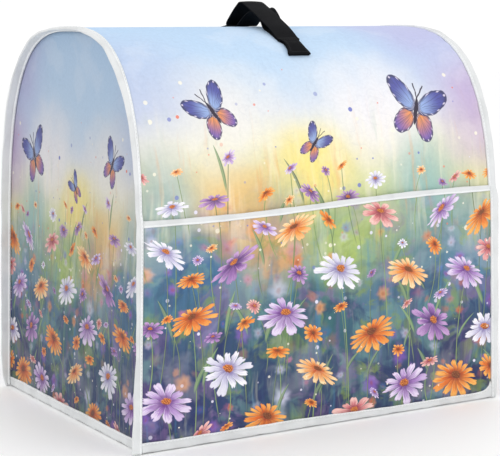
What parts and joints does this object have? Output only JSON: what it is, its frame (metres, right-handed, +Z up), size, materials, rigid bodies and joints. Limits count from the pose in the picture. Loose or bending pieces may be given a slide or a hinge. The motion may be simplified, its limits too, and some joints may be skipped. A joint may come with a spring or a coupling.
{
  "type": "stand mixer cover",
  "caption": "Arched fitted cloth cover for a stand mixer, open underneath, with a front pocket, white bound seams and a black webbing carrying handle on top.",
  "frame": {"origin": "middle of the footprint, on the surface that the hem stands on", "axes": "+X to the right along the front, +Y from the front to the back, +Z up"},
  "size_m": [0.44, 0.3211, 0.4194],
  "materials": {
    "printed_cloth": "smooth foam-backed polyester with a floral wash print, matt",
    "white_tape": "fine white woven binding tape",
    "black_webbing": "black ribbed webbing, slight sheen"
  },
  "bodies": {
    "root": {"main_panel": "printed_cloth", "end_panel_left": "printed_cloth", "end_panel_right": "printed_cloth", "pocket_panel": "printed_cloth", "pocket_binding": "white_tape", "seam_binding_left": "white_tape", "seam_binding_right": "white_tape", "hem_binding": "white_tape", "handle_strap": "black_webbing", "handle_under_strap": "black_webbing"}
  },
  "joints": []
}
